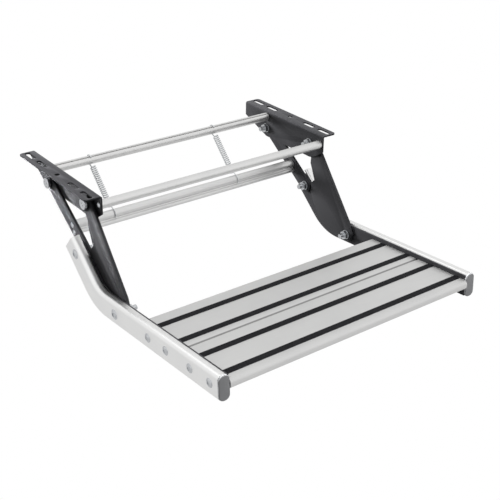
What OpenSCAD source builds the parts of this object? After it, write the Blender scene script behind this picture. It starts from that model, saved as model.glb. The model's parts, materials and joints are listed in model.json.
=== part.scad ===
// Pull out entrance step for a caravan, swung on two pairs of links under the floor.
// Origin: midway between the two round bracket holes, on the plane that meets the floor.
// X runs across the step, minus Y is the front, Z is up. Drawn with the step swung out.

/* [Overall] */
// Width over the outer faces of the two side rails
overall_width = 604; // [520:1:700]
// How far the unloaded tread rises towards its front, in degrees
tread_rise = 4; // [0:0.5:6]

/* [Brackets] */
// Length of each mounting bracket
bracket_length = 275; // [260:1:320]
// Thickness of the bracket plate
bracket_plate = 3; // [2.5:0.5:4]
// Width of the top flange, web included
flange_width = 36; // [34:1:42]
// Radius inside the bend between web and flange
bracket_bend = 1; // [0.5:0.5:3]
// Depth of the web at its front
web_depth = 60; // [56:1:66]
// Depth of the web at its rear end
web_rear_depth = 31; // [26:1:40]
// Rounding of the flange corners
flange_corner = 7; // [3:0.5:10]
// Diameter of the centre hole and width of the slots
fixing_hole = 10.5; // [8:0.5:11]
// Overall length of a fixing slot
slot_length = 36; // [20:1:38]
// Distance from the centre hole to the near slots
near_slot = 65; // [55:1:75]
// Distance from the centre hole to the far slots
far_slot = 115; // [108:1:118]
// Distance of the fixing holes from the inner face of the web
fixing_offset = 21; // [21:0.5:25]
// Depth of the front ear that holds the outer end of the front pivot bolt
ear_depth = 46; // [44:0.5:48]
// Radius of the rear ear round the rear pivot
ear_tip = 10; // [9:0.5:14]

/* [Pivots] */
// Rear pivot, distance behind the centre hole
rear_pivot_y = 58; // [54:0.5:64]
// Rear pivot, depth under the floor
rear_pivot_depth = 40; // [38:0.5:44]
// Front pivot, distance in front of the centre hole
front_pivot_y = 93; // [88:0.5:98]
// Front pivot, depth under the floor
front_pivot_depth = 28; // [26:0.5:32]
// Length of the front arm between its pivots
arm_length = 215; // [200:1:225]
// Slope of the front arm below level, in degrees
arm_slope = 53; // [50:0.5:56]
// Diameter of the pivot bolts
pivot_bolt = 10; // [8:0.5:12]
// Radial running clearance of the pivots
pivot_clearance = 0.05; // [0.03:0.01:0.1]
// Radius of the thick pivot heads
pivot_head = 11; // [9:0.5:12]
// Height of the pivot heads
head_height = 5; // [3.5:0.5:6]
// Thread that stands out beyond each nut
thread_out = 10; // [4:1:14]

/* [Links and arms] */
// Thickness of the links and the arms
link_plate = 5.5; // [4:0.5:7]
// Width of the rear links
link_width = 32; // [28:1:36]
// Radius of the arm round its front pivot
arm_top_radius = 18; // [16:0.5:20]
// Radius of the arm round its lower pivot
arm_low_radius = 17; // [15:0.5:20]
// Reach of the arm behind its pivot line
arm_belly = 69; // [62:1:70]
// Thickness of the bush flange between web and link
bush_flange = 2.4; // [1.5:0.1:4]
// Thickness of the bush flange between link and ear
bush_cover = 0.6; // [0.4:0.1:1]
// Side play beside a bush
side_play = 0.1; // [0.05:0.05:0.3]
// Side gap between a link and the inner plate of a rail
plate_gap = 1; // [0.6:0.1:1.6]

/* [Cross bars] */
// Diameter of the two upper cross tubes
tube_diameter = 18; // [16:0.5:20]
// Bore of the cross tubes
tube_bore = 7; // [6.5:0.5:9]
// Front tube, distance in front of the centre hole
front_tube_y = 127; // [122:1:128]
// Front tube, depth under the floor
front_tube_depth = 21; // [16:0.5:26]
// Rear tube, distance behind the centre hole
rear_tube_y = 58; // [50:1:66]
// Rear tube, depth under the floor
rear_tube_depth = 13; // [13:0.5:16]
// Width of the groove along the rear tube
tube_groove = 2.6; // [1.5:0.1:3]
// Diameter of the large tube of the lower bar
bar_diameter = 18; // [16:0.5:20]
// Diameter of the small lobe of the lower bar
lobe_diameter = 10; // [9:0.5:12]
// Distance between the two bores of the lower bar
lobe_spacing = 15; // [14:0.5:17]
// Distance of the lower bar from the rear rail pivot, along the link
bar_above = 62; // [58:1:70]
// Turn of the lobe from the link's line, in degrees
lobe_turn = 30; // [20:1:40]
// Diameter of the cross bar screws
bar_screw = 6; // [5:0.5:6]

/* [Side rails] */
// Height of the side rails
rail_height = 48; // [44:1:54]
// Width of a rail with its inner plate
rail_width = 22; // [20:0.5:26]
// Wall of the rail profile
rail_wall = 2.5; // [2:0.1:3]
// Rounding of the rail's outer corners
rail_corner = 7; // [5:0.5:9]
// Thickness of the inner plate
inner_plate_thickness = 3; // [2:0.5:4]
// Height of the inner plate above the rail's centre line
inner_plate_up = 21; // [19:0.5:22]
// Depth of the inner plate below the rail's centre line
inner_plate_down = 21; // [19:0.5:22]
// Distance from the lower pivot back to the corner of the bend
bend_back = 74; // [65:1:82]
// Angle of the bend, in degrees
bend_angle = 45; // [40:1:50]
// Radius of the bend on the rail's centre line
bend_radius = 85; // [70:1:95]
// Length of the rising part from the corner of the bend
rise_length = 128; // [124:1:140]
// How far the inner plate runs past the rear rail pivot
plate_past = 16; // [12:1:20]
// Place of the rear rail pivot along the rising part
rear_rail_along = 98; // [90:1:104]
// Place of the rear rail pivot above the rising centre line
rear_rail_up = 7; // [4:0.5:10]
// Radius of the bolt heads on the rails
rail_head = 10.5; // [9:0.5:11]
// Thickness of the end cap
cap_thickness = 4; // [3:0.5:6]
// How far the nose of the tread stands in front of the caps
nose_out = 2.5; // [0:0.5:5]

/* [Tread] */
// Depth of one tread plank, front to rear
plank_depth = 132; // [118:0.1:142]
// Thickness of a plank
plank_height = 19; // [18:0.5:22]
// Wall of the plank profile
plank_wall = 2.4; // [2:0.1:3]
// Height of the tread above the lower pivot line
tread_up = 13; // [10:0.5:15]
// Distance from the lower pivot to the rear edge of the tread
tread_back = 73.5; // [60:0.5:80]
// Gap between the two planks
plank_gap = 0.8; // [0.4:0.1:2]
// Gap between a plank end and the inner plate
plank_end_gap = 0.2; // [0.1:0.1:0.5]
// Rounding of the nose of a plank
plank_nose = 8; // [5:0.5:8.5]
// Rounding of the rear edge of a plank
plank_heel = 4; // [2:0.5:6]
// Width of a rubber strip
strip_width = 14; // [12:0.5:18]
// Depth of the channel that holds a strip
strip_depth = 3.5; // [2.5:0.5:4.5]
// How far a strip stands above the plank
strip_proud = 0.8; // [0.4:0.1:1.5]
// Clearance of a strip in its channel
strip_clearance = 0.15; // [0.1:0.05:0.3]
// Distance from a strip's end to the end of its plank
strip_end = 1; // [0.5:0.5:10]
// First strip, distance from the rear edge of its plank
strip_first = 38; // [32:0.5:40]
// Second strip, distance from the nose of its plank
strip_second = 25; // [20:0.5:34]
// First tread screw, distance from the rear edge of its plank
screw_first = 44; // [42:0.5:50]
// Second tread screw, distance from the nose of its plank
screw_second = 30; // [28:0.5:40]
// Depth of the tread screws under the top of the tread
screw_down = 11.5; // [10.5:0.5:12]
// Diameter of the tread screws
tread_screw_diameter = 6; // [5:0.5:7]
// Depth of a tread screw in its plank
tread_screw_depth = 18; // [12:1:24]

/* [Springs] */
// Wire of the springs
spring_wire = 2.4; // [1.8:0.1:2.6]
// Outer diameter of the coils
spring_coil = 13; // [11:0.5:14]
// Coils of each spring, with a half coil added
spring_turns = 21; // [16:1:25]
// Gap between a hook and the tube that it holds
hook_gap = 0.3; // [0.2:0.05:0.5]
// Left spring, distance in from the left links
left_spring_in = 86.5; // [60:0.5:190]
// Right spring, distance in from the right links
right_spring_in = 156.5; // [60:0.5:190]

/* [Hidden] */
$fn = 64;
hole_clearance = 0.15;
washer_thickness = 1.5;
nut_height = 7;
nut_radius = pivot_bolt * 0.98;
washer_radius = pivot_bolt;
bush_wall = 2;
bush_radius = pivot_bolt / 2 + pivot_clearance + bush_wall;
bush_collar = bush_radius + 3.5;
small_head = bar_screw * 0.9;
small_head_height = 2.2;
oval_steps = 15;
head_root = 0.5;

// Stack from the outer face of a rail to the inner face of a bracket web
rail_out = overall_width / 2;
plate_in = rail_out - rail_width;
plate_out = plate_in + inner_plate_thickness;
rail_mouth = plate_out + hole_clearance;
link_out = plate_in - plate_gap;
link_in = link_out - link_plate;
web_out = link_in - bush_flange - side_play;
web_in = web_out - bracket_plate;
ear_in = link_out + bush_cover + side_play;
ear_out = ear_in + bracket_plate;
flange_out = web_in + flange_width;
fixing_x = web_in + fixing_offset;

// Points of the linkage, as [y, z]
function turned(p, a) = [p[0] * cos(a) - p[1] * sin(a), p[0] * sin(a) + p[1] * cos(a)];
function unit(a) = [cos(a), sin(a)];
function slope(p, q) = atan2(q[1] - p[1], q[0] - p[0]);
rear_pivot = [rear_pivot_y, -rear_pivot_depth];
front_pivot = [-front_pivot_y, -front_pivot_depth];
arm_angle = 180 + arm_slope;
low_pivot = front_pivot + arm_length * unit(arm_angle);
rear_rail_local = [bend_back, 0] + rear_rail_along * unit(bend_angle) + rear_rail_up * unit(bend_angle + 90);
rear_rail_pivot = low_pivot + turned(rear_rail_local, -tread_rise);
link_angle = slope(rear_pivot, rear_rail_pivot);
front_tube_at = [-front_tube_y, -front_tube_depth];
rear_tube_at = [rear_tube_y, -rear_tube_depth];
bar_at = rear_rail_pivot - bar_above * unit(link_angle);
lobe_at = bar_at + lobe_spacing * unit(link_angle + lobe_turn);

// Tread layout along the step, measured from the lower pivot
tread_low = tread_up - plank_height;
screw_up = tread_up - screw_down;
bend_tangent = bend_radius * tan(bend_angle / 2);
bend_start = bend_back - bend_tangent;
plank_rear = [-tread_back, -tread_back - plank_depth - plank_gap];
rail_front = tread_back + 2 * plank_depth + plank_gap - cap_thickness - nose_out;
plank_half = plate_in - plank_end_gap;
screw_spots = [screw_first, plank_depth - screw_second];
strip_spots = [strip_first, plank_depth - strip_second];
screw_places = [for (p = plank_rear) for (s = screw_spots) p - s];
strip_places = [for (p = plank_rear) for (s = strip_spots) p - s];

// Helpers

// The left side is the mirror image of the right side
module on_side(side) {
  if (side < 0) mirror([1, 0, 0]) children();
  else children();
}

// Places the step's own drawing, whose origin is the lower pivot
module on_step() {
  translate([0, low_pivot[0], low_pivot[1]]) rotate([-tread_rise, 0, 0]) children();
}

// A round bar along X at a point [y, z]
module bar_x(from, to, at, radius) {
  translate([from, at[0], at[1]]) rotate([0, 90, 0]) cylinder(h = to - from, r = radius);
}

// A side outline, drawn as [y, z], made solid between two X values
module side_plate(from, to) {
  translate([from, 0, 0]) rotate([90, 0, 90]) linear_extrude(to - from) children();
}

// A bar with round ends between two points
module capsule(p, q, radius) {
  length = norm(q - p);
  translate(p) rotate(slope(p, q)) {
    circle(radius);
    translate([length, 0]) circle(radius);
    translate([0, -radius]) square([length, 2 * radius]);
  }
}

// A domed head with a hexagon socket, its flat side at x and its dome towards plus X
module dome(x, at, radius, height) {
  ball = (radius * radius + height * height) / (2 * height);
  translate([x, at[0], at[1]]) rotate([0, 90, 0]) difference() {
    rotate_extrude() intersection() {
      translate([0, height - ball]) circle(ball);
      square([radius, height]);
    }
    translate([0, 0, height * 0.55]) cylinder(h = height, r = radius * 0.4, $fn = 6);
  }
}

// A thick flat head with a broken edge, its flat side at x
module thick_head(x, at, radius, height) {
  edge = 1;
  translate([x, at[0], at[1]]) rotate([0, 90, 0]) rotate_extrude()
    polygon([[0, 0], [radius, 0], [radius, height - edge], [radius - edge, height], [0, height]]);
}

// Washer and nut without their hole, seated at x
module nut_body(x, at) {
  bar_x(x - washer_thickness, x, at, washer_radius);
  translate([x - washer_thickness - nut_height, at[0], at[1]]) rotate([0, 90, 0])
    cylinder(h = nut_height, r = nut_radius, $fn = 6);
}

// Washer and nut on the inner side of a bolt, seated at x
module washer_and_nut(x, at) {
  difference() {
    nut_body(x, at);
    bar_x(x - washer_thickness - nut_height - 1, x + 1, at, pivot_bolt / 2 + hole_clearance);
  }
}

function bolt_end(x) = x - washer_thickness - nut_height - thread_out;

// Brackets

// Cross section of a bracket as [x, z]: web, flange and the bend between them
module bracket_section() {
  bend_out = bracket_bend + bracket_plate;
  difference() {
    union() {
      translate([web_in, -web_depth]) square([bracket_plate, web_depth - bend_out]);
      translate([web_in + bend_out, -bracket_plate]) square([flange_width - bend_out, bracket_plate]);
      translate([web_in + bend_out, -bend_out]) intersection() {
        circle(bend_out);
        translate([-bend_out, 0]) square(bend_out);
      }
    }
    translate([web_in + bend_out, -bend_out]) circle(bracket_bend);
  }
}

// Side outline of a bracket as [y, z]
module bracket_outline() {
  half = bracket_length / 2;
  polygon([
    [-half, 0], [half, 0], [half, -web_rear_depth],
    [rear_pivot_y, -web_depth], [-front_pivot_y - 4, -web_depth],
    [-half + 23, -web_depth + 7], [-half, -web_depth + 23]
  ]);
}

// Ears under the flange, as [y, z], that hold the outer ends of the pivot bolts
module ear_outline() {
  half = bracket_length / 2;
  lift = -bracket_plate / 2;
  lobe = pivot_head + 1;
  foot = rear_pivot + ear_tip * unit(-57);
  translate(rear_pivot) circle(ear_tip);
  polygon([[rear_pivot_y - ear_tip, lift], [half - 4, lift], foot, rear_pivot + ear_tip * unit(180)]);
  translate(front_pivot) circle(lobe);
  polygon([
    [-front_pivot_y - lobe, lift], [6, lift], [-8, -ear_depth / 2], [-21, -ear_depth + 8], [-33, -ear_depth + 3],
    [-46, -ear_depth], [-front_pivot_y + 10, -ear_depth], front_pivot + lobe * unit(-100), front_pivot + lobe * unit(180)
  ]);
}

// Top view of a bracket as [x, y], with round outer corners
module bracket_plan() {
  half = bracket_length / 2;
  translate([web_in, -half]) square([flange_width - flange_corner, bracket_length]);
  translate([web_in, -half + flange_corner]) square([flange_width, bracket_length - 2 * flange_corner]);
  for (s = [-1, 1]) translate([flange_out - flange_corner, s * (half - flange_corner)]) circle(flange_corner);
}

module fixing_slot(y) {
  reach = (slot_length - fixing_hole) / 2;
  translate([0, 0, -bracket_plate - 1]) linear_extrude(bracket_plate + 2)
    capsule([fixing_x, y - reach], [fixing_x, y + reach], fixing_hole / 2);
}

module bracket() {
  difference() {
    union() {
      intersection() {
        translate([0, bracket_length / 2, 0]) rotate([90, 0, 0]) linear_extrude(bracket_length) bracket_section();
        side_plate(web_in - 1, flange_out + 1) bracket_outline();
        translate([0, 0, -web_depth - 1]) linear_extrude(web_depth + 2) bracket_plan();
      }
      side_plate(ear_in, ear_out) ear_outline();
    }
    for (y = [-far_slot, -near_slot, near_slot, far_slot]) fixing_slot(y);
    translate([fixing_x, 0, -bracket_plate - 1]) cylinder(h = bracket_plate + 2, d = fixing_hole);
    for (p = [rear_pivot, front_pivot]) bar_x(web_in - 1, ear_out + 1, p, pivot_bolt / 2 + hole_clearance);
    for (p = [front_tube_at, rear_tube_at]) bar_x(web_in - 1, web_out + 1, p, bar_screw / 2 + hole_clearance);
  }
}

module bracket_l() { color("#4a4a4c") on_side(-1) bracket(); }
module bracket_r() { color("#4a4a4c") on_side(1) bracket(); }

// Cross tubes of the frame

module cross_tube(at) {
  difference() {
    bar_x(-web_in, web_in, at, tube_diameter / 2);
    bar_x(-web_in - 1, web_in + 1, at, tube_bore / 2);
  }
}

module front_tube() { color("#d2d4d6") cross_tube(front_tube_at); }

// The rear tube has a groove that takes the tips of the spring hooks
module rear_tube() {
  groove_depth = 3;
  color("#d2d4d6") difference() {
    cross_tube(rear_tube_at);
    translate([-web_in - 1, rear_tube_at[0], rear_tube_at[1]]) rotate([-61, 0, 0])
      translate([0, -tube_diameter / 2 - 1, -tube_groove / 2])
      cube([2 * web_in + 2, groove_depth + 1, tube_groove]);
  }
}

module tube_screw(at) {
  screw_end = web_in - 22;
  bar_x(screw_end, web_out + head_root, at, bar_screw / 2);
  dome(web_out, at, small_head, small_head_height);
}

module front_tube_screw_l() { color("#c4c6c8") on_side(-1) tube_screw(front_tube_at); }
module front_tube_screw_r() { color("#c4c6c8") on_side(1) tube_screw(front_tube_at); }
module rear_tube_screw_l() { color("#c4c6c8") on_side(-1) tube_screw(rear_tube_at); }
module rear_tube_screw_r() { color("#c4c6c8") on_side(1) tube_screw(rear_tube_at); }

// Upper pivots

module pivot_bolt_piece(at) {
  bar_x(bolt_end(web_in), ear_out + head_root, at, pivot_bolt / 2);
  thick_head(ear_out, at, pivot_head, head_height);
}

module rear_pivot_bolt_l() { color("#c4c6c8") on_side(-1) pivot_bolt_piece(rear_pivot); }
module rear_pivot_bolt_r() { color("#c4c6c8") on_side(1) pivot_bolt_piece(rear_pivot); }
module rear_pivot_nut_l() { color("#b4b6b8") on_side(-1) washer_and_nut(web_in, rear_pivot); }
module rear_pivot_nut_r() { color("#b4b6b8") on_side(1) washer_and_nut(web_in, rear_pivot); }
module front_pivot_bolt_l() { color("#c4c6c8") on_side(-1) pivot_bolt_piece(front_pivot); }
module front_pivot_bolt_r() { color("#c4c6c8") on_side(1) pivot_bolt_piece(front_pivot); }
module front_pivot_nut_l() { color("#b4b6b8") on_side(-1) washer_and_nut(web_in, front_pivot); }
module front_pivot_nut_r() { color("#b4b6b8") on_side(1) washer_and_nut(web_in, front_pivot); }

// A bush with a collar on each side of the link or arm that it lines
module pivot_bush(at) {
  difference() {
    union() {
      bar_x(link_in - bush_flange, link_out + bush_cover, at, bush_radius);
      bar_x(link_in - bush_flange, link_in, at, bush_collar);
      bar_x(link_out, link_out + bush_cover, at, bush_collar);
    }
    bar_x(link_in - bush_flange - 1, link_out + bush_cover + 1, at, pivot_bolt / 2 + pivot_clearance);
  }
}

module rear_bush_l() { color("#2e2e30") on_side(-1) pivot_bush(rear_pivot); }
module rear_bush_r() { color("#2e2e30") on_side(1) pivot_bush(rear_pivot); }
module front_bush_l() { color("#2e2e30") on_side(-1) pivot_bush(front_pivot); }
module front_bush_r() { color("#2e2e30") on_side(1) pivot_bush(front_pivot); }

// Rear links and the lower bar

module rear_link() {
  difference() {
    side_plate(link_in, link_out) capsule(rear_pivot, rear_rail_pivot, link_width / 2);
    bar_x(link_in - 1, link_out + 1, rear_pivot, bush_radius + hole_clearance);
    bar_x(link_in - 1, link_out + 1, rear_rail_pivot, pivot_bolt / 2 + pivot_clearance);
    for (p = [bar_at, lobe_at]) bar_x(link_in - 1, link_out + 1, p, bar_screw / 2 + hole_clearance);
  }
}

module rear_link_l() { color("#4a4a4c") on_side(-1) rear_link(); }
module rear_link_r() { color("#4a4a4c") on_side(1) rear_link(); }

module lower_bar() {
  neck = lobe_diameter * 0.55;
  color("#d2d4d6") difference() {
    side_plate(-link_in, link_in) {
      translate(bar_at) circle(bar_diameter / 2);
      translate(lobe_at) circle(lobe_diameter / 2);
      translate(bar_at) rotate(link_angle + lobe_turn) translate([0, -neck / 2]) square([lobe_spacing, neck]);
    }
    bar_x(-link_in - 1, link_in + 1, bar_at, tube_bore / 2);
    for (s = [-1, 1]) on_side(s) bar_x(link_in - 24, link_in + 1, lobe_at, bar_screw / 2 + hole_clearance);
  }
}

module link_screw(at) {
  bar_x(link_in - 22, link_out + head_root, at, bar_screw / 2);
  dome(link_out, at, small_head, small_head_height);
}

module bar_screw_l() { color("#c4c6c8") on_side(-1) link_screw(bar_at); }
module bar_screw_r() { color("#c4c6c8") on_side(1) link_screw(bar_at); }
module lobe_screw_l() { color("#c4c6c8") on_side(-1) link_screw(lobe_at); }
module lobe_screw_r() { color("#c4c6c8") on_side(1) link_screw(lobe_at); }

// Front arms, drawn along the line between their pivots: first value along, second to the rear

module arm_outline() {
  translate(front_pivot) rotate(arm_angle) {
    circle(arm_top_radius);
    translate([arm_length, 0]) circle(arm_low_radius);
    low = [arm_length, 0];
    polygon([
      [0, -arm_top_radius], [arm_length - 20, -arm_top_radius - 4],
      low + arm_low_radius * unit(-50), low + arm_low_radius * unit(50),
      low + [-25, arm_belly - 24], low + [-43, arm_belly - 9], low + [-58, arm_belly - 3], low + [-74, arm_belly],
      low + [-94, arm_belly], low + [-119, arm_belly - 5], low + [-136, arm_belly - 19],
      low + [-138, arm_belly - 32], [39, arm_top_radius + 10], [30, arm_top_radius + 2], [0, arm_top_radius]
    ]);
  }
}

module front_arm() {
  difference() {
    side_plate(link_in, link_out) arm_outline();
    bar_x(link_in - 1, link_out + 1, front_pivot, bush_radius + hole_clearance);
    bar_x(link_in - 1, link_out + 1, low_pivot, pivot_bolt / 2 + hole_clearance);
  }
}

module front_arm_l() { color("#4a4a4c") on_side(-1) front_arm(); }
module front_arm_r() { color("#4a4a4c") on_side(1) front_arm(); }

// Inner half of the lower pivot, which stays with the arm
module low_pivot_nut() {
  nut_body(link_in, low_pivot);
  bar_x(bolt_end(link_in), link_out, low_pivot, pivot_bolt / 2 + hole_clearance);
}

module low_pivot_nut_l() { color("#b4b6b8") on_side(-1) low_pivot_nut(); }
module low_pivot_nut_r() { color("#b4b6b8") on_side(1) low_pivot_nut(); }

// Side rails

// Carries a section, drawn as [x, height], along the rail's centre line. The second section, for
// the bend, is a hair fuller than the first and reaches a little way over the straight parts.
module along_rail() {
  over = 0.4;
  translate([0, bend_start, 0]) rotate([90, 0, 0]) linear_extrude(bend_start + rail_front) children(0);
  translate([0, bend_start, bend_radius]) rotate([0, 90, 0]) rotate([0, 0, -over])
    rotate_extrude(angle = bend_angle + 2 * over) translate([bend_radius, 0]) rotate(90) children(1);
  translate([0, bend_back, 0]) rotate([bend_angle, 0, 0]) translate([0, rise_length, 0])
    rotate([90, 0, 0]) linear_extrude(rise_length - bend_tangent) children(0);
}

// A tall outline with round corners between two X values
module tall_outline(from, to, height, corner) {
  up = height / 2 - corner;
  polygon(concat(
    arc([to - corner, up], corner, 90, 0), arc([to - corner, -up], corner, 0, -90),
    arc([from + corner, -up], corner, -90, -180), arc([from + corner, up], corner, 180, 90)
  ));
}

// Points on an arc round a centre
function arc(centre, radius, from, to) = [for (i = [0 : oval_steps])
  centre + radius * unit(from + (to - from) * i / oval_steps)];

// One face of the channel as [x, height], a distance in from its outer face
function channel_face(mouth, inset) = concat(
  [[mouth, rail_height / 2 - inset]],
  arc([rail_out - rail_corner, rail_height / 2 - rail_corner], rail_corner - inset, 90, 0),
  arc([rail_out - rail_corner, rail_corner - rail_height / 2], rail_corner - inset, 0, -90),
  [[mouth, inset - rail_height / 2]]);
function backwards(points) = [for (i = [len(points) - 1 : -1 : 0]) points[i]];

// A channel that opens against the inner plate, with its wall made fuller by a hair
module rail_section(fuller) {
  mouth = rail_mouth - fuller;
  polygon(concat(channel_face(mouth, -fuller), backwards(channel_face(mouth, rail_wall + fuller))));
}

// Side outline of an inner plate, which follows the rail
module inner_plate_outline() {
  centre = [bend_start, bend_radius];
  end = [bend_back, 0] + (rear_rail_along + plate_past) * unit(bend_angle);
  across = unit(bend_angle + 90);
  polygon(concat(
    [[-rail_front, inner_plate_up], [-rail_front, -inner_plate_down]],
    arc(centre, bend_radius + inner_plate_down, -90, bend_angle - 90),
    [end - inner_plate_down * across, end + inner_plate_up * across],
    arc(centre, bend_radius - inner_plate_up, bend_angle - 90, -90)
  ));
}

// Bolt and screw holes through a rail or an inner plate
module rail_holes(from, to) {
  bar_x(from, to, [0, 0], pivot_bolt / 2 + hole_clearance);
  bar_x(from, to, rear_rail_local, pivot_bolt / 2 + hole_clearance);
  for (y = screw_places) bar_x(from, to, [y, screw_up], tread_screw_diameter / 2 + hole_clearance);
}

module rail() {
  on_step() difference() {
    along_rail() {
      rail_section(0);
      rail_section(0.05);
    }
    rail_holes(plate_out + 4, rail_out + 1);
  }
}

module inner_plate() {
  on_step() difference() {
    side_plate(plate_in, plate_out) inner_plate_outline();
    rail_holes(plate_in - 1, plate_out + 1);
  }
}

module rail_l() { color("#d6d8da") on_side(-1) rail(); }
module rail_r() { color("#d6d8da") on_side(1) rail(); }
module inner_plate_l() { color("#4a4a4c") on_side(-1) inner_plate(); }
module inner_plate_r() { color("#4a4a4c") on_side(1) inner_plate(); }

// A cap with a plug that enters the rail
module end_cap() {
  plug = 12;
  slack = 0.3;
  edge = 1.2;
  inset = rail_wall + slack;
  on_step() translate([0, -rail_front, 0]) {
    rotate([90, 0, 0]) linear_extrude(cap_thickness - edge)
      tall_outline(plate_in, rail_out, rail_height, rail_corner);
    translate([0, -cap_thickness + edge, 0]) rotate([90, 0, 0]) linear_extrude(edge)
      tall_outline(plate_in + edge, rail_out - edge, rail_height - 2 * edge, rail_corner - edge);
    translate([0, plug, 0]) rotate([90, 0, 0]) linear_extrude(plug)
      tall_outline(rail_mouth + slack, rail_out - inset, rail_height - 2 * inset, rail_corner - inset);
  }
}

module end_cap_l() { color("#77797b") on_side(-1) end_cap(); }
module end_cap_r() { color("#77797b") on_side(1) end_cap(); }

// Bolts through the rails

module rear_rail_bolt() {
  on_step() {
    bar_x(bolt_end(link_in - side_play), rail_out + head_root, rear_rail_local, pivot_bolt / 2);
    dome(rail_out, rear_rail_local, rail_head, head_height * 0.7);
  }
}

module rear_rail_nut() {
  on_step() washer_and_nut(link_in - side_play, rear_rail_local);
}

// Outer half of the lower pivot, which stays with the rail
module low_pivot_bolt() {
  on_step() {
    bar_x(plate_in, rail_out + head_root, [0, 0], pivot_bolt / 2);
    dome(rail_out, [0, 0], rail_head, head_height * 0.7);
  }
}

module rear_rail_bolt_l() { color("#c4c6c8") on_side(-1) rear_rail_bolt(); }
module rear_rail_bolt_r() { color("#c4c6c8") on_side(1) rear_rail_bolt(); }
module rear_rail_nut_l() { color("#b4b6b8") on_side(-1) rear_rail_nut(); }
module rear_rail_nut_r() { color("#b4b6b8") on_side(1) rear_rail_nut(); }
module low_pivot_bolt_l() { color("#c4c6c8") on_side(-1) low_pivot_bolt(); }
module low_pivot_bolt_r() { color("#c4c6c8") on_side(1) low_pivot_bolt(); }

module tread_screw(number) {
  at = [screw_places[number], screw_up];
  on_step() {
    bar_x(plank_half - tread_screw_depth, rail_out + head_root, at, tread_screw_diameter / 2);
    dome(rail_out, at, rail_head * 0.85, head_height * 0.6);
  }
}

module tread_screw_l1() { color("#c4c6c8") on_side(-1) tread_screw(0); }
module tread_screw_l2() { color("#c4c6c8") on_side(-1) tread_screw(1); }
module tread_screw_l3() { color("#c4c6c8") on_side(-1) tread_screw(2); }
module tread_screw_l4() { color("#c4c6c8") on_side(-1) tread_screw(3); }
module tread_screw_r1() { color("#c4c6c8") on_side(1) tread_screw(0); }
module tread_screw_r2() { color("#c4c6c8") on_side(1) tread_screw(1); }
module tread_screw_r3() { color("#c4c6c8") on_side(1) tread_screw(2); }
module tread_screw_r4() { color("#c4c6c8") on_side(1) tread_screw(3); }

// Tread planks

// Outline of a plank as [y, z], from its rear edge at 0 to its nose, top at 0, drawn in by a wall
module plank_outline(inset) {
  nose = plank_nose - inset;
  heel = plank_heel - inset;
  translate([-inset - heel, -inset - heel]) circle(heel);
  translate([-inset - heel, -plank_height + inset + heel]) circle(heel);
  translate([-plank_depth + inset + nose, -inset - nose]) circle(nose);
  translate([-plank_depth + inset + nose, -plank_height + inset + nose]) circle(nose);
  translate([-inset - heel, -plank_height + inset + heel]) square([heel, plank_height - 2 * inset - 2 * heel]);
  translate([-plank_depth + inset, -plank_height + inset + nose]) square([nose, plank_height - 2 * inset - 2 * nose]);
  translate([-plank_depth + inset + nose, -plank_height + inset])
    square([plank_depth - 2 * inset - nose - heel, plank_height - 2 * inset]);
}

// Hollow section with screw bosses, stiffening ribs and strip channels
module plank_section() {
  boss = tread_screw_diameter / 2 + plank_wall;
  channel = strip_width / 2 + strip_clearance;
  difference() {
    union() {
      difference() {
        plank_outline(0);
        plank_outline(plank_wall);
      }
      intersection() {
        plank_outline(plank_wall / 2);
        union() {
          for (y = screw_spots) {
            translate([-y, -screw_down]) circle(boss);
            translate([-y - plank_wall / 2, -plank_height]) square([plank_wall, plank_height]);
          }
          for (y = strip_spots)
            translate([-y - channel - plank_wall, -strip_depth - plank_wall])
              square([2 * (channel + plank_wall), strip_depth + plank_wall]);
        }
      }
    }
    for (y = screw_spots)
      translate([-y, -screw_down]) circle(tread_screw_diameter / 2 + hole_clearance);
    for (y = strip_spots)
      translate([-y - channel, -strip_depth]) square([2 * channel, strip_depth + 1]);
  }
}

module plank(number) {
  on_step() translate([0, plank_rear[number], tread_up])
    side_plate(-plank_half, plank_half) plank_section();
}

module tread_rear() { color("#d6d8da") plank(0); }
module tread_front() { color("#d6d8da") plank(1); }

// A rubber strip with fine ribs on its top
module strip(number) {
  ribs = 5;
  rib = strip_width / (2 * ribs - 1);
  base = strip_depth - strip_clearance;
  on_step() translate([0, strip_places[number], tread_up - strip_depth + strip_clearance])
    side_plate(-plank_half + strip_end, plank_half - strip_end) {
      translate([-strip_width / 2, 0]) square([strip_width, base]);
      for (i = [0 : ribs - 1]) translate([-strip_width / 2 + 2 * i * rib, 0]) square([rib, base + strip_proud]);
    }
}

module strip_1() { color("#2b2b2d") strip(0); }
module strip_2() { color("#2b2b2d") strip(1); }
module strip_3() { color("#2b2b2d") strip(2); }
module strip_4() { color("#2b2b2d") strip(3); }

// Springs: one wire each, swept along upper hook, coil and lower hook

spring_angle = slope(rear_tube_at, bar_at);
spring_span = norm(bar_at - rear_tube_at);
coil_radius = (spring_coil - spring_wire) / 2;
upper_hook = tube_diameter / 2 + hook_gap + spring_wire / 2;
lower_hook = bar_diameter / 2 + hook_gap + spring_wire / 2;
upper_tip = 104;
lower_tip = 24;
coil_from = 15;
coil_to = spring_span - 15;
coil_steps = 8;
hook_steps = 14;
lead_steps = 6;
wire_sides = 6;

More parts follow.
